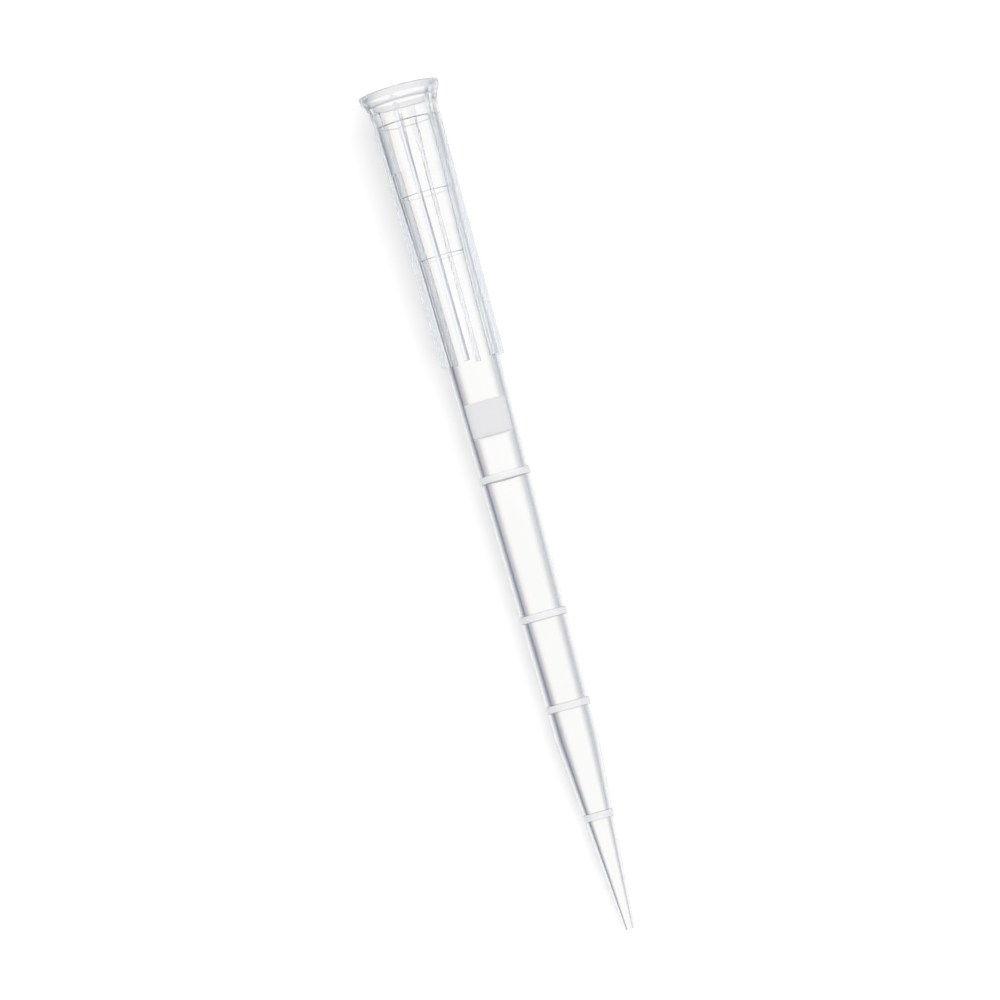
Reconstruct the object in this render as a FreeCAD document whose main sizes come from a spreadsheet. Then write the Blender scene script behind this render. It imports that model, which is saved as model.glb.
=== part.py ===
import FreeCAD, Part
import math
import os
import re

import Sketcher

V = FreeCAD.Vector
os.makedirs("parts", exist_ok=True)
doc = FreeCAD.newDocument("filter_pipette_tip")

# ---------------------------------------------------------------- driving sizes (mm)
# The tip stands on its collar: the rim is at height 0 and the orifice at the top.
sheet = doc.addObject("Spreadsheet::Sheet", "sizes")
SIZES = [
    ("tip_length", 74.0, "rim to orifice"),
    # collar
    ("rim_radius", 3.55, "collar at the rim, outside"),
    ("lip_height", 0.60, "nearly straight lip of the collar"),
    ("lip_top_radius", 3.46, "collar where the flare starts"),
    ("flare_height", 2.25, "height at which the flare meets the barrel"),
    ("flare_curve", 2.80, "radius of the flare's hollow curve"),
    # barrel outside, between the fins
    ("barrel_radius", 2.90, "barrel at the end of the flare"),
    ("seat_outer_radius", 2.65, "barrel beside the seat's inner end"),
    ("waist_outer_radius", 2.42, "barrel beside the last bore step"),
    ("fin_end_barrel_radius", 2.29, "barrel where the fins end"),
    # shaft and point, outside
    ("point_height", 57.15, "height at which the steep point starts"),
    ("point_radius", 1.81, "shaft where the point starts"),
    ("orifice_outer_radius", 0.40, "end face of the point"),
    # mouth and bore
    ("mouth_radius", 3.12, "inside edge of the rim"),
    ("funnel_depth", 1.02, "lead-in from the rim to the bore"),
    ("entry_radius", 2.64, "bore at the end of the lead-in"),
    ("entry_step_height", 2.88, "first bore step"),
    ("entry_end_radius", 2.60, "bore just before the first step"),
    ("guide_radius", 2.52, "bore just after the first step"),
    ("guide_step_height", 7.00, "second bore step"),
    ("guide_end_radius", 2.43, "bore just before the second step"),
    ("seat_radius", 2.30, "cylindrical seat of the pipette's nozzle"),
    ("seat_end_height", 9.20, "end of the cylindrical seat"),
    ("cone_radius", 2.23, "start of the sealing cone"),
    ("cone_end_height", 14.78, "last bore step"),
    ("cone_end_radius", 2.085, "end of the sealing cone"),
    ("bore_radius", 2.02, "start of the long bore"),
    ("bore_end_height", 57.45, "end of the long bore"),
    ("bore_end_radius", 1.28, "long bore where the point's bore starts"),
    ("orifice_radius", 0.26, "orifice, inside"),
    ("step_rise", 0.06, "axial length of the sharp bore steps"),
    ("guide_step_rise", 0.30, "axial length of the sloping second step"),
    # fins
    ("fin_count", 6, "fins round the barrel"),
    ("fin_thickness", 0.37, "across each fin"),
    ("fin_start_radius", 3.05, "fin edge where it leaves the flare"),
    ("fin_start_height", 2.60, "height at which the fin edge leaves the flare"),
    ("fin_end_radius", 2.85, "fin edge at its far end"),
    ("fin_end_height", 24.05, "end of the fins"),
    ("fin_corner", 0.12, "bevel at the fin's far corner"),
    ("fin_flare_curve", 4.75, "radius of the fin's curve under the collar"),
    ("fin_root_start", 2.78, "fin root inside the wall, near the collar"),
    ("fin_root_end", 2.05, "fin root inside the wall, far end"),
    # graduation rings
    ("ring_width", 0.57, "length of each graduation ring"),
    ("ring_proud", 0.06, "height of a graduation ring above the shaft"),
    ("ring_root", 0.10, "depth of a ring's root inside the wall"),
    ("ring_200_height", 34.20, "middle of the 200 microlitre ring"),
    ("ring_100_height", 46.50, "middle of the 100 microlitre ring"),
    ("ring_50_height", 54.40, "middle of the 50 microlitre ring"),
    ("ring_10_height", 64.05, "middle of the 10 microlitre ring"),
    # filter
    ("filter_start_height", 27.60, "filter's face towards the mouth"),
    ("filter_length", 3.00, "length of the filter"),
]
for row, (name, value, meaning) in enumerate(SIZES, start=1):
    sheet.set("A%d" % row, name)
    sheet.set("B%d" % row, "%g" % value)
    sheet.set("C%d" % row, meaning)
    sheet.setAlias("B%d" % row, name)
doc.recompute()


def taper(height, low_height, low_radius, high_height, high_radius):
    """Expression for a cone's radius at a height between its two ends."""
    return ("%s - (%s - %s) * (%s - %s) / (%s - %s)"
            % (low_radius, low_radius, high_radius, height, low_height, high_height, low_height))


def bound(words):
    """Expression that reads the named sizes from the sheet."""
    return re.sub(r"\b([a-z]\w*)", r"sizes.\1", words)


def number(words):
    """Present value of an expression in the named sizes."""
    return float(sheet.evalExpression(bound(words)))


def plane(body, role):
    return next(f for f in body.Origin.OriginFeatures if f.Role == role)


def side(start, end, curve=None):
    """Straight side, or an arc bulging towards the axis when a curve radius is given.

    Returns the geometry and the numbers of its start and end points.
    """
    (x0, z0), (x1, z1) = start, end
    if curve is None:
        return Part.LineSegment(V(x0, z0, 0), V(x1, z1, 0)), (1, 2)
    chord = math.hypot(x1 - x0, z1 - z0)
    reach = math.sqrt(curve ** 2 - chord ** 2 / 4) / chord
    centre = V((x0 + x1) / 2 + reach * (z1 - z0), (z0 + z1) / 2 + reach * (x0 - x1), 0)
    from_angle = math.atan2(z0 - centre.y, x0 - centre.x) % (2 * math.pi)
    to_angle = math.atan2(z1 - centre.y, x1 - centre.x) % (2 * math.pi)
    circle = Part.Circle(centre, V(0, 0, 1), curve)
    return Part.ArcOfCircle(circle, to_angle, from_angle), (2, 1)


def profile(body, name, corners, curves=None, upright="XZ_Plane"):
    """Closed sketch in an upright plane; corners are (radius, height) expressions.

    curves gives, for the side that starts at a corner's number, the size of its radius.
    """
    curves = curves or {}
    sketch = body.newObject("Sketcher::SketchObject", name)
    sketch.AttachmentSupport = [(plane(body, upright), "")]
    sketch.MapMode = "FlatFace"
    places = [(number(r), number(z)) for r, z in corners]
    ends = []
    for i, place in enumerate(places):
        curve = number(curves[i]) if i in curves else None
        shape, numbers = side(place, places[(i + 1) % len(places)], curve)
        sketch.addGeometry(shape, False)
        ends.append(numbers)
    for i, (place, corner) in enumerate(zip(places, corners)):
        after = (i + 1) % len(places)
        sketch.addConstraint(Sketcher.Constraint("Coincident", i, ends[i][1], after, ends[after][0]))
        for kind, value, words in zip(("DistanceX", "DistanceY"), place, corner):
            if words == "0":
                sketch.addConstraint(Sketcher.Constraint("PointOnObject", i, ends[i][0], -1))
            else:
                at = sketch.addConstraint(Sketcher.Constraint(kind, -1, 1, i, ends[i][0], value))
                sketch.setExpression("Constraints[%d]" % at, bound(words))
        if i in curves:
            at = sketch.addConstraint(Sketcher.Constraint("Radius", i, number(curves[i])))
            sketch.setExpression("Constraints[%d]" % at, bound(curves[i]))
    doc.recompute()
    return sketch


def revolve(body, name, sketch):
    turned = body.newObject("PartDesign::Revolution", name)
    turned.Profile = sketch
    turned.ReferenceAxis = (sketch, ["V_Axis"])
    turned.Angle = 360.0
    sketch.Visibility = False
    doc.recompute()
    return turned


# ---------------------------------------------------------------- tip body
# One injection moulding in clear polypropylene: collar, barrel with long fins, shaft with
# four raised graduation rings, and point.
tip = doc.addObject("PartDesign::Body", "tip_body")
tip.Label = "tip_body"

wall = profile(tip, "wall_profile", [
    ("mouth_radius", "0"),
    ("rim_radius", "0"),
    ("lip_top_radius", "lip_height"),
    ("barrel_radius", "flare_height"),
    ("seat_outer_radius", "seat_end_height"),
    ("waist_outer_radius", "cone_end_height"),
    ("fin_end_barrel_radius", "fin_end_height"),
    ("point_radius", "point_height"),
    ("orifice_outer_radius", "tip_length"),
    ("orifice_radius", "tip_length"),
    ("bore_end_radius", "bore_end_height"),
    ("bore_radius", "cone_end_height + step_rise"),
    ("cone_end_radius", "cone_end_height"),
    ("cone_radius", "seat_end_height + step_rise"),
    ("seat_radius", "seat_end_height"),
    ("seat_radius", "guide_step_height + guide_step_rise"),
    ("guide_end_radius", "guide_step_height"),
    ("guide_radius", "entry_step_height + step_rise"),
    ("entry_end_radius", "entry_step_height"),
    ("entry_radius", "funnel_depth"),
], curves={2: "flare_curve"})
revolve(tip, "wall", wall)

fin_sketch = profile(tip, "fin_profile", [
    ("fin_root_start", "funnel_depth"),
    ("lip_top_radius", "lip_height"),
    ("fin_start_radius", "fin_start_height"),
    ("fin_end_radius", "fin_end_height - fin_corner"),
    ("fin_end_radius - fin_corner", "fin_end_height"),
    ("fin_root_end", "fin_end_height"),
], curves={1: "fin_flare_curve"}, upright="YZ_Plane")
fin = tip.newObject("PartDesign::Pad", "fin")
fin.Profile = fin_sketch
fin.SideType = "Symmetric"
fin.setExpression("Length", bound("fin_thickness"))
fin_sketch.Visibility = False
doc.recompute()
fins = tip.newObject("PartDesign::PolarPattern", "fins")
fins.Originals = [fin]
fins.Axis = (plane(tip, "Z_Axis"), [""])
fins.Angle = 360.0
fins.setExpression("Occurrences", bound("fin_count"))
tip.Tip = fins
doc.recompute()

for ring_height in ("ring_200_height", "ring_100_height", "ring_50_height", "ring_10_height"):
    if number(ring_height) < number("point_height"):
        shaft = ("fin_end_height", "fin_end_barrel_radius", "point_height", "point_radius")
    else:
        shaft = ("point_height", "point_radius", "tip_length", "orifice_outer_radius")
    low, high = ring_height + " - ring_width / 2", ring_height + " + ring_width / 2"
    at_low, at_high = taper("(" + low + ")", *shaft), taper("(" + high + ")", *shaft)
    ring = profile(tip, ring_height.replace("_height", "_profile"), [
        (at_low + " - ring_root", low),
        (at_low + " + ring_proud", low),
        (at_high + " + ring_proud", high),
        (at_high + " - ring_root", high),
    ])
    revolve(tip, ring_height.replace("_height", ""), ring)

# ---------------------------------------------------------------- filter plug
# Porous plug pressed into the long bore: it takes the bore's own taper, face to face.
plug = doc.addObject("Part::Cone", "filter_plug")
plug.Label = "filter_plug"
long_bore = ("(cone_end_height + step_rise)", "bore_radius", "bore_end_height", "bore_end_radius")
plug.setExpression("Radius1", bound(taper("filter_start_height", *long_bore)))
plug.setExpression("Radius2", bound(taper("(filter_start_height + filter_length)", *long_bore)))
plug.setExpression("Height", bound("filter_length"))
plug.setExpression("Placement.Base.z", bound("filter_start_height"))
doc.recompute()

# ---------------------------------------------------------------- checks and files
for item in doc.Objects:
    if "Invalid" in item.State or "Error" in item.State:
        raise RuntimeError("%s did not build: %s" % (item.Name, item.State))
for node in (tip, plug):
    shape = node.Shape
    if shape.isNull() or not shape.isValid() or len(shape.Solids) != 1:
        raise RuntimeError("%s is not one sound solid" % node.Label)
    shape.exportStep("parts/%s.step" % node.Label)
    print(node.Label, "volume %.2f mm3" % shape.Volume, shape.BoundBox)
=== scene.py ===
import bpy
import numpy as np
from mathutils import Matrix, Vector


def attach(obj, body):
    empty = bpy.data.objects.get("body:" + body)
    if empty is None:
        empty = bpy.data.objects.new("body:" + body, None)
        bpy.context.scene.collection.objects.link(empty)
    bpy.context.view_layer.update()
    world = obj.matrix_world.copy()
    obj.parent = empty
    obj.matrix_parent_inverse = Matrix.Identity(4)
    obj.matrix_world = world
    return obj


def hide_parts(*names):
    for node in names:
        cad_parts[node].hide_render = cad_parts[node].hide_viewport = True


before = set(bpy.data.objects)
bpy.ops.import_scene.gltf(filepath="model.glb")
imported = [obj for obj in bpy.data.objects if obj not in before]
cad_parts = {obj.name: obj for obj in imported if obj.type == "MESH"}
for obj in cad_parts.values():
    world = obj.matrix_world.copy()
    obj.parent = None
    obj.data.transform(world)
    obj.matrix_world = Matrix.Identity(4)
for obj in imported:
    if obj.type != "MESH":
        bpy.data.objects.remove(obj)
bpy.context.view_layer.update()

# ------------------------------------------------------------------ tip body
# One injection moulding in clear polypropylene: collar, barrel with six long fins, shaft with
# four raised graduation rings, and point. It is glossy where the mould was polished, and frosted
# on the rings and lightly on the collar. Lengths are in millimetres, heights go up from the rim.
TIP_LENGTH = 74.0
RIM_RADIUS = 3.545
LIP_TOP, FLARE_END, FLARE_CURVE, FLARE_BEND = (3.46, 0.60), (2.90, 2.25), 2.80, 0.2
FIN_COUNT, FIN_TURN, FIN_END = 6, np.radians(30), 24.05
# the outside of barrel, shaft and point: radius, height
SHAFT = np.array([FLARE_END, (2.65, 9.20), (2.42, 14.78), (2.29, FIN_END), (1.81, 57.15), (0.40, TIP_LENGTH)])
RING_HEIGHTS = np.array([34.20, 46.50, 54.40, 64.05])
RING_WIDTH, RING_PROUD, RING_SLOPE = 0.57, 0.06, 0.02
# the bore from the orifice to the mouth: radius, height, and how far off the corner's bend starts
CORNER_BEND = 0.035
BORE = np.array([
    (0.26, TIP_LENGTH, CORNER_BEND), (1.28, 57.45, CORNER_BEND), (2.02, 14.84, CORNER_BEND),
    (2.085, 14.78, CORNER_BEND), (2.23, 9.26, CORNER_BEND), (2.30, 9.20, CORNER_BEND), (2.30, 7.30, 0.12),
    (2.43, 7.00, 0.12), (2.52, 2.94, 0.012), (2.60, 2.88, 0.012), (2.64, 1.02, CORNER_BEND),
    (3.12, 0.0, CORNER_BEND)])
# where the lead-in ends, and the bore's sharp steps: height, how dark the painted shade along it is, half
# length, and how far off the rows of points on either side are
SHARP_STEPS = np.array([(1.02, 1.0, 0.06, 0.13), (2.91, 0.8, 0.03, 0.11), (9.23, 0.3, 0.03, 0.10),
                        (14.81, 0.25, 0.03, 0.10)])
STEP_FADE = 0.06
# half a fin's thickness at its crest and root, its fillets, and what the draft adds: height, extra
FIN_CREST, FIN_ROOT, FIN_FILLET = 0.16, 0.185, 0.08
FIN_DRAFT = np.array([(2.0, -0.038), (FIN_END, 0.035)])
FIN_FLARE_END, FIN_FLARE_CURVE = (3.05, 2.60), 4.75
# the bevel at the fins' far corner: radius, height above their end
FIN_CORNER = np.array([(2.85, -0.12), (2.825, -0.05), (2.79, -0.015), (2.74, 0.0)])
# where the barrel has its columns of points, as shares of the way from a fin to midway between two
BARREL_STEPS = np.linspace(0, 1, 9)[1:]
# the filter plug's place in the bore
FILTER_START, FILTER_LENGTH = 27.60, 3.00
# between these heights the bore's side lines go over from the barrel's to the shaft's
NARROW_FROM, NARROW_TO = 14.84, 24.5


def hollow_curve(start, end, radius, count):
    """Points of a circle arc from start to end that bulges towards the axis.

    The centre lies off the chord's middle, away from the axis, at the distance left over from
    the radius and half the chord; the points are spaced evenly in angle round it.
    """
    start, end = np.array(start), np.array(end)
    chord = end - start
    reach = np.sqrt(radius ** 2 / (chord @ chord) - 0.25)
    centre = (start + end) / 2 + reach * np.array([chord[1], -chord[0]])
    first, last = (np.arctan2(p[1], p[0]) % (2 * np.pi) for p in (start - centre, end - centre))
    angle = np.linspace(first, last, count)
    return centre + radius * np.stack([np.cos(angle), np.sin(angle)], 1)


def softened(corners, bends, support=0.04):
    """Closed path through the corners, each turned by a short curve, with points between them.

    The curve at a corner is (1-t)^2 A + 2t(1-t) C + t^2 B, where C is the corner and A and B lie
    on its two sides at the bend's length. Each straight gets a point close to either end, which
    keeps its shading straight, and one in the middle. That makes 8 points a corner.
    """
    before, after = np.roll(corners, 1, 0) - corners, np.roll(corners, -1, 0) - corners
    to_before, to_after = np.linalg.norm(before, axis=1), np.linalg.norm(after, axis=1)
    reach = np.minimum(bends, 0.4 * np.minimum(to_before, to_after))[:, None]
    a = corners + reach * before / to_before[:, None]
    b = corners + reach * after / to_after[:, None]
    t = np.linspace(0, 1, 5)[None, :, None]
    turn = (1 - t) ** 2 * a[:, None] + 2 * t * (1 - t) * corners[:, None] + t ** 2 * b[:, None]
    near = np.minimum(support / to_after, 0.2)
    s = np.stack([near, np.full(len(near), 0.5), 1 - near], 1)[:, :, None]
    run = (1 - s) * b[:, None] + s * np.roll(a, -1, 0)[:, None]
    return np.concatenate([turn, run], 1).reshape(-1, 2)


def with_rows(rising, heights):
    """A rising path with a point added at each height, on the straight between its neighbours."""
    heights = np.sort(heights)
    added = np.stack([np.interp(heights, rising[:, 1], rising[:, 0]), heights], 1)
    return np.insert(rising, np.searchsorted(rising[:, 1], heights), added, 0)


def smooth(x):
    """Ease from 0 to 1: 3x^2 - 2x^3 with x held between 0 and 1."""
    x = np.clip(x, 0, 1)
    return x * x * (3 - 2 * x)


def rounded_fin(full, extra):
    """Half a fin's cross-section: distance from its middle plane, and height above the wall.

    A flat crest turns by an arc into a side that leans out a little and ends in a hollow arc on
    the wall: (w - d + d sin a, H - e + e cos a), then (v + d - d cos b, e - e sin b). The arcs'
    height e is the fillet's, or 0.45 of the full height H on a low fin. Their width d is the
    fillet's or a little more, so that the points keep apart where there is no fin. A low fin has
    gentler sides: a ends at 40 degrees instead of 72, b starts as far short of 90, and its foot
    spreads into the flare. The half widths w and v include the extra one of the draft, which
    lets the fin leave the mould.
    """
    e = np.minimum(FIN_FILLET, 0.45 * full)
    d = np.minimum(FIN_FILLET, 0.45 * full + 0.04) + 0.04 * (1 - smooth(full / 0.16))
    lean = np.radians(40 + 32 * smooth((full - 0.12) / 0.15))
    a = lean * np.linspace(0, 1, 5)
    b = np.pi / 2 - lean * np.linspace(1, 0, 5)
    spread = 0.25 * (1 - smooth((full - 0.10) / 0.20))
    crest = FIN_CREST + extra - d + d * np.sin(a), full - e + e * np.cos(a)
    foot = FIN_ROOT + extra + spread + d - d * np.cos(b), e - e * np.sin(b)
    middle = [(crest[k][:, -1:] + foot[k][:, :1]) / 2 for k in (0, 1)]
    start = [np.concatenate([0 * e, crest[0][:, :1] / 2], 1), np.concatenate([full, full], 1)]
    return tuple(np.concatenate([start[k], crest[k], middle[k], foot[k]], 1) for k in (0, 1))


# the wall's section: rim, lip, flare and shaft with its rings going up, then the bore coming down
ring_feet = RING_HEIGHTS[:, None] + RING_WIDTH / 2 * np.array([-1, -1, 1, 1])
ring_radii = np.interp(ring_feet, SHAFT[:, 1], SHAFT[:, 0]) + RING_PROUD * np.array([0, 1, 1, 0])
ring_feet += RING_SLOPE * np.array([0, 1, -1, 0])
rings = np.stack([ring_radii, ring_feet], 2).reshape(-1, 2)
shaft = np.concatenate([SHAFT[1:], rings])
shaft = shaft[np.argsort(shaft[:, 1], kind="stable")]
flare = hollow_curve(LIP_TOP, FLARE_END, FLARE_CURVE, 7)
bends = np.concatenate([[CORNER_BEND], np.full(len(flare), FLARE_BEND), np.full(len(shaft), CORNER_BEND),
                        BORE[:, 2]])
path = softened(np.concatenate([[(RIM_RADIUS, 0.0)], flare, shaft, BORE[:, :2]]), bends)
outer, inner = np.split(path, [8 * (1 + len(flare) + len(shaft))])

# rows close together where the fins end, so that their end faces stand square; and rows of the
# bore where its side lines change, at either face of the filter plug, and beside each step
outer = with_rows(outer, FIN_END + np.append(FIN_CORNER[:-1, 1], 0.006))
bore_rows = np.concatenate([
    [NARROW_TO], FILTER_START - np.array([0.1, 0]), FILTER_START + FILTER_LENGTH + np.array([0, 0.1]),
    SHARP_STEPS[:, 0] - SHARP_STEPS[:, 3], SHARP_STEPS[:, 0] + SHARP_STEPS[:, 3]])
inner = with_rows(inner[::-1], bore_rows)[::-1]
radius, height = np.concatenate([outer, inner]).T
outside = np.arange(len(height)) < len(outer)

# the fins' height above the wall, from where the lip ends to the bevel at their far corner
fin_flare = hollow_curve(LIP_TOP, FIN_FLARE_END, FIN_FLARE_CURVE, 9)
fin_edge = np.concatenate([fin_flare, FIN_CORNER + [0, FIN_END]])
fin_height = np.interp(height, fin_edge[:, 1], fin_edge[:, 0]) - radius
has_fin = outside & (height > LIP_TOP[1]) & (height < FIN_END + 0.003)
fin_height = np.where(has_fin, fin_height.clip(0), 0)[:, None]


def all_round(across_fin):
    """Values across half a fin, and 0 on the barrel, mirrored and repeated for every fin."""
    half = np.pad(across_fin, ((0, 0), (0, len(BARREL_STEPS))))
    return np.tile(np.concatenate([half, half[:, -2:0:-1]], 1), (1, FIN_COUNT))


# columns round the tip: across a fin by distance, over the barrel between by angle, and evenly
# spaced in the bore and beyond the fins
pitch = 2 * np.pi / FIN_COUNT
draft = np.interp(height, FIN_DRAFT[:, 0], FIN_DRAFT[:, 1])[:, None]
aside, raised = rounded_fin(fin_height, draft)
over_fin = np.arcsin((aside / (radius[:, None] + raised)).clip(0, 0.95))
over_barrel = over_fin[:, -1:] + (pitch / 2 - over_fin[:, -1:]) * BARREL_STEPS
turned = np.concatenate([over_fin, over_barrel], 1)
even = pitch / 2 * np.linspace(0, 1, turned.shape[1])
evenness = np.where(outside, smooth((height - FIN_END - 0.1) / 3), 1)[:, None]
half = (1 - evenness) * turned + evenness * even
angle = np.concatenate([half, pitch - half[:, -2:0:-1]], 1)
angle = (angle[:, None] + FIN_TURN + pitch * np.arange(FIN_COUNT)[:, None]).reshape(len(height), -1)
reach = radius[:, None] + all_round(raised)

# frost: full on the rings' faces, light on the lip and the flare and least on the fins
bare_shaft = np.interp(height, SHAFT[:, 1], SHAFT[:, 0])
near_ring = np.abs(height[:, None] - RING_HEIGHTS).min(1) < RING_WIDTH
on_ring = outside & near_ring & (radius > bare_shaft + 0.05 * RING_PROUD)
on_collar = np.where(outside, 1 - smooth((height - 0.7) / 1.0), 0)
share = (raised / np.maximum(fin_height, 0.05)).clip(0, 1)
frost = np.maximum(np.where(on_ring, 1.0, 0.52 * on_collar)[:, None], all_round(0.15 * np.sqrt(share)))

# fin: 1 on the fins, fading over their foot and where they are low; it sets their milky share and painted
# shade. bore: how far a point belongs to the bore's wall, and so takes its painted shade, little where the
# filter plug grips it. narrow: 1 in the shaft's part of the bore
fin = all_round(smooth(share / 0.3) * smooth((fin_height - 0.06) / 0.20))
narrow = np.interp(height, [NARROW_FROM, NARROW_TO], [0.0, 1.0])
gripped = (height > FILTER_START - 0.05) & (height < FILTER_START + FILTER_LENGTH + 0.05)
bore = np.where(outside, 0.0, np.where(gripped, 0.2, 0.8 + 0.2 * narrow))

# edge: how near a point is to a sharp step of the bore or to the mouth's inner edge, which sets the painted
# shade there
past_step = np.abs(height[:, None] - SHARP_STEPS[:, 0]) - SHARP_STEPS[:, 2]
by_step = (SHARP_STEPS[:, 1] * (1 - smooth(past_step / STEP_FADE))).max(1)
by_mouth = 0.6 * (1 - smooth(height / 0.05)) * (radius < 3.2)
edge = np.maximum(np.where(outside, 0, by_step), by_mouth)


def closed_skin(name, points, wrap_rows=True):
    """Mesh of a grid of points (rows, columns, 3) whose columns close on themselves.

    Each face joins a point, its right neighbour and the two above them; with wrap_rows the last
    row joins the first, and otherwise both end rows are closed by a fan onto their mean point.
    """
    count, around = points.shape[:2]
    index = np.arange(count * around).reshape(count, around)
    above = np.roll(index, -1, 0) if wrap_rows else index[1:]
    below = index if wrap_rows else index[:-1]
    quads = np.stack([below, np.roll(below, -1, 1), np.roll(above, -1, 1), above], 2).reshape(-1, 4)
    verts = points.reshape(-1, 3)
    faces = quads.tolist()
    if not wrap_rows:
        verts = np.concatenate([verts, points[[0, -1]].mean(1)])
        low, high = index[0], index[-1]
        faces += np.stack([np.roll(low, -1), low, np.full(around, len(verts) - 2)], 1).tolist()
        faces += np.stack([high, np.roll(high, -1), np.full(around, len(verts) - 1)], 1).tolist()
    mesh = bpy.data.meshes.new(name)
    mesh.from_pydata((verts / 1000).tolist(), [], faces)
    mesh.polygons.foreach_set("use_smooth", np.ones(len(faces), bool))
    mesh.set_sharp_from_angle(angle=np.radians(50))
    mesh.update()
    thing = bpy.data.objects.new(name, mesh)
    bpy.context.scene.collection.objects.link(thing)
    return thing


heights = np.broadcast_to(height[:, None], angle.shape)
clear_tip = closed_skin("clear_tip", np.stack([reach * np.cos(angle), reach * np.sin(angle), heights], 2))
shares = {"frosting": frost, "fin": fin, "bore": bore[:, None], "narrow": narrow[:, None],
          "edge": edge[:, None]}
for name, values in shares.items():
    layer = clear_tip.data.attributes.new(name, "FLOAT", "POINT")
    layer.data.foreach_set("value", np.broadcast_to(values, angle.shape).ravel().astype(np.float32))


class Recipe:
    """A socket of a material's node tree, so that shader maths reads as ordinary expressions."""

    def __init__(self, tree, socket=None):
        self.tree, self.socket = tree, socket

    def node(self, kind, settings=(), inputs=(), out=0):
        """Add a node: its settings first, then values or links of its sockets by name or number."""
        made = self.tree.nodes.new(kind)
        for key, value in dict(settings).items():
            if key == "stops":
                ramp = made.color_ramp
                while len(ramp.elements) < len(value):
                    ramp.elements.new(1.0)
                for stop, (place, colour) in zip(ramp.elements, value):
                    stop.position, stop.color = place, colour
            else:
                setattr(made, key, value)
        for key, value in dict(inputs).items():
            if isinstance(value, Recipe):
                self.tree.links.new(value.socket, made.inputs[key])
            else:
                made.inputs[key].default_value = value
        return Recipe(self.tree, made.outputs[out] if made.outputs else None)

    def math(self, operation, a, b):
        return self.node("ShaderNodeMath", {"operation": operation}, {0: a, 1: b})

    def mix(self, share, colour, other, blend="MIX"):
        """The colour, going over to the other by the share."""
        return self.node("ShaderNodeMix", {"data_type": "RGBA", "blend_type": blend}, {
            "Factor": share, 6: colour, 7: other}, out=2)

    def ease(self, start, end, before, after, easing="SMOOTHSTEP"):
        """From before to after while this socket goes from start to end, and level beyond them."""
        return self.node("ShaderNodeMapRange", {"interpolation_type": easing}, {
            0: self, 1: start, 2: end, 3: before, 4: after})

    def __add__(self, other): return self.math("ADD", self, other)
    def __radd__(self, other): return self.math("ADD", other, self)
    def __sub__(self, other): return self.math("SUBTRACT", self, other)
    def __rsub__(self, other): return self.math("SUBTRACT", other, self)
    def __mul__(self, other): return self.math("MULTIPLY", self, other)
    def __rmul__(self, other): return self.math("MULTIPLY", other, self)
    def __truediv__(self, other): return self.math("DIVIDE", self, other)


def new_material(name):
    """A material with an empty node tree, as a Recipe to build it with."""
    material = bpy.data.materials.new(name)
    material.use_nodes = True
    material.node_tree.nodes.clear()
    return material, Recipe(material.node_tree)


clear_pp, r = new_material("clear_polypropylene")
CLEAR = (0.989, 0.989, 0.984, 1)
where = r.node("ShaderNodeTexCoord", out="Object")
frosted, fins, bore_shade_share, in_narrow, step_shade_share = (
    r.node("ShaderNodeAttribute", {"attribute_name": name}, out="Fac") for name in shares)
flow = r.node("ShaderNodeTexNoise", {}, {"Vector": where, "Scale": 900.0, "Detail": 3.0})
grain = r.node("ShaderNodeTexNoise", {}, {"Vector": where, "Scale": 9000.0, "Detail": 2.0})
on_rings = frosted.ease(0.6, 1.0, 0.0, 1.0, "LINEAR")
roughness = 0.01 + 0.02 * flow + 0.22 * frosted + 0.1 * on_rings * grain
texture = r.node("ShaderNodeBump", {}, {"Strength": 0.25, "Distance": 0.00002, "Height": on_rings * grain},
                 out="Normal")

# painted shade: the bore's wall is tinted darker where it is met at a slant, which draws a dark line along
# each side
slant = r.node("ShaderNodeLayerWeight", {}, {"Blend": 0.5}, out="Facing")
shaft_bore_shade = r.node("ShaderNodeValToRGB", {"stops": [
    (0.16, CLEAR), (0.286, (0.91, 0.91, 0.91, 1)), (0.387, (0.70, 0.70, 0.71, 1)),
    (0.45, (0.60, 0.60, 0.62, 1)), (0.63, (0.57, 0.57, 0.60, 1)), (0.78, (0.45, 0.45, 0.50, 1)),
    (1.0, (0.39, 0.39, 0.45, 1))]}, {"Fac": slant})
barrel_bore_shade = r.node("ShaderNodeValToRGB", {"stops": [
    (0.12, CLEAR), (0.28, (0.87, 0.89, 0.91, 1)), (0.50, (0.73, 0.79, 0.88, 1)),
    (0.64, (0.57, 0.64, 0.76, 1)), (0.78, (0.36, 0.42, 0.54, 1)),
    (1.0, (0.25, 0.30, 0.41, 1))]}, {"Fac": slant})
bore_shaded = r.mix(bore_shade_share, CLEAR, r.mix(in_narrow, barrel_bore_shade, shaft_bore_shade))
# painted shade: a dark grey line along the bore's sharp steps and the mouth's inner edge
step_shaded = r.mix(step_shade_share, bore_shaded, (0.42, 0.42, 0.46, 1))
# painted shade: the fins are tinted a pale bluish grey, darker than the rest of the clear wall
fin_shaded = r.mix(fins, step_shaded, (0.87, 0.88, 0.92, 1))
tint = r.mix(frosted, fin_shaded, (0.92, 0.92, 0.95, 1))
body = r.node("ShaderNodeBsdfPrincipled", {}, {
    "Base Color": tint, "Roughness": roughness, "IOR": 1.49, "Transmission Weight": 1.0, "Normal": texture})
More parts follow.
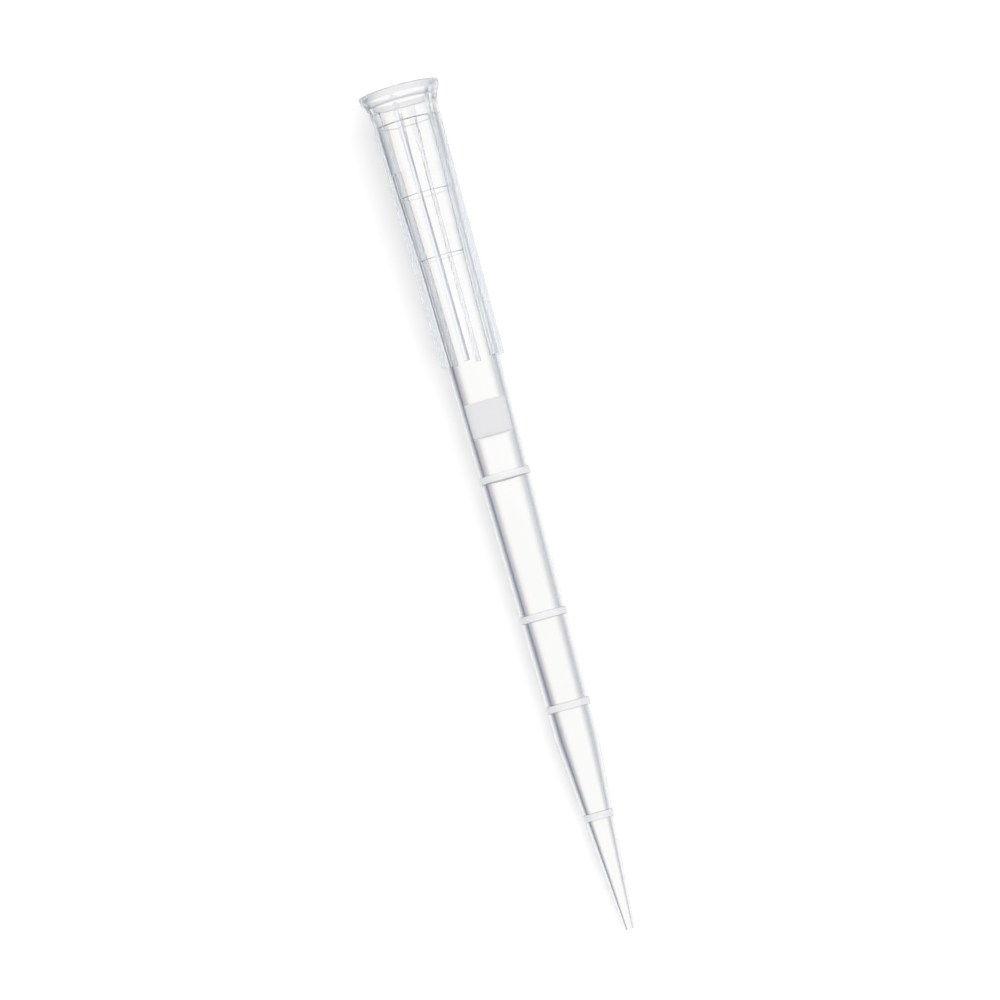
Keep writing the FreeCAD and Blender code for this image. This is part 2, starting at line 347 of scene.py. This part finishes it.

# the frosted places scatter light, and the fins are a little milky, more where light meets them
# from outside than from within, where a faint glow stands for lamp light that can't get in. The fins' milky
# part is tinted bluish, painted shade
within = r.node("ShaderNodeNewGeometry", out="Backfacing")
matte = r.node("ShaderNodeBsdfPrincipled", {}, {
    "Base Color": r.mix(fins, (0.96, 0.96, 0.97, 1), (0.90, 0.94, 1.0, 1)), "Roughness": 0.55, "IOR": 1.49,
    "Emission Color": 0.35 * fins * within, "Emission Strength": 1.0})
scattering = 0.01 + 0.7 * frosted * frosted + fins * (0.28 - 0.06 * within)
r.node("ShaderNodeOutputMaterial", {}, {
    "Surface": r.node("ShaderNodeMixShader", {}, {0: scattering, 1: body, 2: matte})})
clear_tip.data.materials.append(clear_pp)
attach(clear_tip, "root")
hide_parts("tip_body")

# ------------------------------------------------------------------ filter plug
# A short cylinder of sintered polyethylene beads, white and finely porous, pressed down the bore
# from the mouth until the taper grips it. It touches the wall only by the tops of its grains.
WALL_GAP, SIDE_GRAIN, FACE_GRAIN, ARRIS = 0.012, 0.012, 0.02, 0.04


def grains(turn, rise, seed):
    """Smooth random bumps, mostly from -1 to 1: a sum of waves round the plug and along it.

    Each wave has a whole number of turns, so that the pattern closes, and its own phase.
    """
    random = np.random.default_rng(seed)
    waves = 40
    around = random.integers(8, 70, waves)[:, None, None] * random.choice([-1, 1], waves)[:, None, None]
    along = random.uniform(8, 45, waves)[:, None, None]
    phase = random.uniform(0, 2 * np.pi, waves)[:, None, None]
    return np.sin(around * turn + along * rise + phase).mean(0) * 3


def end_face(middle_out, seed):
    """How deep an end face's grain lies, from its middle to its edge, where it fades out."""
    return FACE_GRAIN * (1 + grains(turn, middle_out * 1.8, seed).clip(-1, 1)) * (1 - middle_out ** 6)


# the side follows the bore's taper, with grain, and both of its ends are eased by a small arris
turn = np.linspace(0, 2 * np.pi, 220, endpoint=False)[None, :]
rise = np.linspace(0, 1, 46)[:, None]
from_middle = 2 * rise - 1
bore_at_plug = np.interp(FILTER_START + np.array([0, FILTER_LENGTH]), BORE[::-1, 1], BORE[::-1, 0])
side = bore_at_plug[0] + (bore_at_plug[1] - bore_at_plug[0]) * rise - WALL_GAP
side = side - SIDE_GRAIN * (1 - grains(turn, rise * FILTER_LENGTH, 3).clip(-1, 1)) - ARRIS * from_middle ** 40
level = FILTER_START + FILTER_LENGTH * rise + FACE_GRAIN * (grains(turn, rise * 0, 5) - 1) * from_middle ** 5

# either end face goes from near the axis out to the side
middle_out = np.linspace(0.08, 0.97, 14)[:, None]
plug_reach = np.concatenate([middle_out * side[:1], side, middle_out[::-1] * side[-1:]])
plug_level = np.concatenate([
    level[:1] + end_face(middle_out, 7), level, level[-1:] - end_face(middle_out[::-1], 9)])
plug = closed_skin("porous_filter", np.stack([
    plug_reach * np.cos(turn), plug_reach * np.sin(turn), plug_level], 2), wrap_rows=False)

sintered, r = new_material("sintered_polyethylene")
where = r.node("ShaderNodeTexCoord", out="Object")
beads = r.node("ShaderNodeTexVoronoi", {"feature": "F1"}, {"Vector": where, "Scale": 7000.0}, out="Distance")
cloud = r.node("ShaderNodeTexNoise", {}, {"Vector": where, "Scale": 1600.0, "Detail": 4.0})
tone = r.mix(0.75 * beads + 0.35 * cloud, (0.97, 0.97, 0.985, 1), (0.88, 0.88, 0.92, 1))
pits = r.node("ShaderNodeBump", {"invert": True}, {
    "Strength": 0.4, "Distance": 0.00004, "Height": beads}, out="Normal")
# the small glow stands for lamp light that can't get through the clear wall
body = r.node("ShaderNodeBsdfPrincipled", {}, {
    "Base Color": tone, "Roughness": 0.9, "Normal": pits, "Specular IOR Level": 0.3,
    "Emission Color": (1.0, 0.99, 1.0, 1), "Emission Strength": 0.27})
r.node("ShaderNodeOutputMaterial", {}, {"Surface": body})
plug.data.materials.append(sintered)
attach(plug, "root")
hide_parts("filter_plug")

# ------------------------------------------------------------------ camera
# It looks almost level at the standing tip, from slightly above, and is rolled so that the rim
# is at the upper left and the point at the lower right.
FOCAL, SENSOR = 188.5, 36.0
DISTANCE, AIM_HEIGHT, AIM_ASIDE = 444.4, 36.06, 0.95
LOOK_TURN, LOOK_DOWN, ROLL = np.radians(12.3), np.radians(2.4), np.radians(15.42)

forward = np.array([np.sin(LOOK_TURN) * np.cos(LOOK_DOWN), np.cos(LOOK_TURN) * np.cos(LOOK_DOWN),
                    -np.sin(LOOK_DOWN)])
down = np.array([0, 0, -1.0])
rimward = down - forward * (down @ forward)
rimward /= np.linalg.norm(rimward)
across = np.cross(forward, rimward)
up = np.cos(ROLL) * rimward + np.sin(ROLL) * across
right = np.cross(forward, up)
eye = np.array([0, 0, AIM_HEIGHT]) - AIM_ASIDE * across - DISTANCE * forward
camera = bpy.data.objects.new("camera", bpy.data.cameras.new("camera"))
camera.data.lens, camera.data.sensor_width = FOCAL, SENSOR
camera.data.clip_start, camera.data.clip_end = 0.01, 50
turned_to = Matrix((right, up, -forward)).transposed().to_4x4()
camera.matrix_world = Matrix.Translation(Vector(eye / 1000)) @ turned_to
bpy.context.scene.collection.objects.link(camera)
bpy.context.scene.camera = camera

# ------------------------------------------------------------------ table, backdrop and light
# A white table, a white card leaning close behind the tip, and soft light from one side.
# The lamp stands nearly as far off as the camera, to the right in its view.
TABLE_HALF, TABLE_GLOW, TABLE_SCREEN = 3000, 0.31, 12
CARD_HALF, CARD_LENGTH, CARD_GLOW, CARD_SCREEN = 250, 300, 0.19, 500
# how far behind the tip's axis the card stands, at the rim and where the point starts
CARD_AT_RIM, CARD_AT_POINT = 3.57, 1.84
LAMP_SIZE, LAMP_WATTS, LAMP_AWAY, LAMP_ASIDE, LAMP_HEIGHT, LAMP_AIM = 0.36, 0.56, 420, 90, 90, 30
WHITE = (1, 1, 1, 1)
# the screen's width at the rim in millimetres, and by how many it narrows in a metre up
SCREEN_WIDTH, SCREEN_NARROWING = 31.2, 268.8


def paper_sheet(name, corners, glow, screen_reach):
    """A flat one-sided white sheet, from its corners in millimetres.

    It takes shadows as matt paper does. Its glow brings it up to plain white where it is seen
    directly or in a reflection, and is a little stronger close to the table and on the lit side: painted
    light that pales the tip's shadow there.
    Seen through the plastic and within the given reach of the tip's axis, it is painted as a narrow lit
    screen with shade beside it: white behind the axis and falling off into painted shade on either side, more
    on one side than on the other. The white band gets narrower towards the point. The fall is squared at the
    rim and eases to plain 40 mm up, and in the last 3 mm before the rim it is paler.
    """
    paper, r = new_material(name)
    camera_ray, glossy_ray, through_ray = (r.node("ShaderNodeLightPath", out=n) for n in (
        "Is Camera Ray", "Is Glossy Ray", "Is Transmission Ray"))
    place = r.node("ShaderNodeTexCoord", out="Object")
    rise = r.node("ShaderNodeSeparateXYZ", {}, {0: place}, out="Z")
    aside = r.node("ShaderNodeVectorMath", {"operation": "DOT_PRODUCT"}, {
        0: place, 1: tuple(1000 * across)}, out="Value")
    level_place = r.node("ShaderNodeVectorMath", {"operation": "MULTIPLY"}, {0: place, 1: (1000, 1000, 0)})
    from_axis = r.node("ShaderNodeVectorMath", {"operation": "LENGTH"}, {0: level_place}, out="Value")

    # painted light: a stronger glow near the table and on the lit side pales the tip's shadow there
    foot_painted_light = rise.ease(0.0, 0.003, 0.08, 0.0)
    side_painted_light = aside.ease(0.0, 2.0, 0.0, 0.09)
    matt = r.node("ShaderNodeBsdfDiffuse", {}, {"Color": (0.9, 0.9, 0.9, 1)})
    lift = r.node("ShaderNodeEmission", {}, {
        "Color": glow + foot_painted_light + side_painted_light, "Strength": camera_ray + glossy_ray})
    direct = r.node("ShaderNodeAddShader", {}, {0: matt, 1: lift})

    # painted shade, seen only through the plastic: a white band behind the axis with darker tones on either
    # side
    screen_width = SCREEN_WIDTH - SCREEN_NARROWING * rise
    tone = r.node("ShaderNodeValToRGB", {"stops": [
        (0.09, (0.38, 0.40, 0.47, 1)), (0.15, (0.20, 0.22, 0.30, 1)), (0.233, (0.20, 0.22, 0.31, 1)),
        (0.28, (0.26, 0.28, 0.38, 1)), (0.32, (0.44, 0.46, 0.53, 1)), (0.373, (0.66, 0.67, 0.70, 1)),
        (0.397, (0.81, 0.80, 0.80, 1)), (0.43, (0.98, 0.96, 0.94, 1)), (0.455, WHITE), (0.56, WHITE),
        (0.613, (0.91, 0.91, 0.92, 1)), (0.66, (0.79, 0.80, 0.82, 1)), (0.70, (0.69, 0.70, 0.75, 1)),
        (0.767, (0.56, 0.58, 0.63, 1)), (0.85, (0.53, 0.55, 0.61, 1)), (0.91, (0.68, 0.69, 0.72, 1)),
    ]}, {"Fac": aside / screen_width + 0.5})
    rimwards = rise.ease(0.0, 0.040, 1.0, 0.0, "LINEAR")
    squared = r.mix(rimwards, tone, tone, "MULTIPLY")
    beyond = from_axis.ease(screen_reach, screen_reach + 4, 0.0, 1.0)
    at_rim = rise.ease(0.0, 0.003, 0.7, 0.0)
    screen = r.mix(r.math("MAXIMUM", beyond, at_rim), squared, WHITE)
    through = r.node("ShaderNodeEmission", {}, {"Color": screen, "Strength": 1.0})

    front = r.node("ShaderNodeMixShader", {}, {0: through_ray, 1: direct, 2: through})
    r.node("ShaderNodeOutputMaterial", {}, {"Surface": r.node("ShaderNodeMixShader", {}, {
        0: r.node("ShaderNodeNewGeometry", out="Backfacing"), 1: front,
        2: r.node("ShaderNodeBsdfTransparent")})})
    mesh = bpy.data.meshes.new(name)
    mesh.from_pydata([tuple(c / 1000 for c in corner) for corner in corners], [], [(0, 1, 2, 3)])
    mesh.materials.append(paper)
    sheet = bpy.data.objects.new(name, mesh)
    bpy.context.scene.collection.objects.link(sheet)
    return sheet


table = paper_sheet("table", [(-TABLE_HALF, -TABLE_HALF, 0), (TABLE_HALF, -TABLE_HALF, 0),
                              (TABLE_HALF, TABLE_HALF, 0), (-TABLE_HALF, TABLE_HALF, 0)],
                    TABLE_GLOW, TABLE_SCREEN)
level_forward = forward * [1, 1, 0] / np.linalg.norm(forward[:2])
to_side = CARD_HALF * np.cross(level_forward, [0, 0, 1.0])
lean = (CARD_AT_RIM - CARD_AT_POINT) / SHAFT[-2, 1]
foot = CARD_AT_RIM * level_forward
head = (CARD_AT_RIM - lean * CARD_LENGTH) * level_forward + np.array([0, 0, CARD_LENGTH])
card = paper_sheet("card", [foot - to_side, foot + to_side, head + to_side, head - to_side],
                   CARD_GLOW, CARD_SCREEN)
card.visible_shadow = card.visible_diffuse = False

world = bpy.data.worlds.new("studio")
world.use_nodes = True
world.node_tree.nodes.clear()
w = Recipe(world.node_tree)
camera_ray, glossy_ray, through_ray = (w.node("ShaderNodeLightPath", out=n) for n in (
    "Is Camera Ray", "Is Glossy Ray", "Is Transmission Ray"))
strength = 0.88 + 0.12 * camera_ray + 0.02 * glossy_ray + 0.12 * through_ray
w.node("ShaderNodeOutputWorld", {}, {"Surface": w.node("ShaderNodeBackground", {}, {
    "Color": WHITE, "Strength": strength})})
bpy.context.scene.world = world

lamp = bpy.data.objects.new("side_light", bpy.data.lights.new("side_light", "AREA"))
lamp.data.shape, lamp.data.size, lamp.data.energy = "DISK", LAMP_SIZE, LAMP_WATTS
lamp.visible_glossy = lamp.visible_transmission = False
lamp_at = -level_forward * LAMP_AWAY + across * LAMP_ASIDE + np.array([0, 0, LAMP_HEIGHT])
back = lamp_at - np.array([0, 0, LAMP_AIM])
faced = Vector(back).to_track_quat("Z", "Y").to_matrix().to_4x4()
lamp.matrix_world = Matrix.Translation(Vector(lamp_at / 1000)) @ faced
bpy.context.scene.collection.objects.link(lamp)

bpy.context.scene.view_settings.view_transform = "Standard"
# light runs a long way round inside the clear wall before it comes out at a fin
bpy.context.scene.cycles.max_bounces = 24
bpy.context.scene.cycles.glossy_bounces = bpy.context.scene.cycles.transmission_bounces = 16
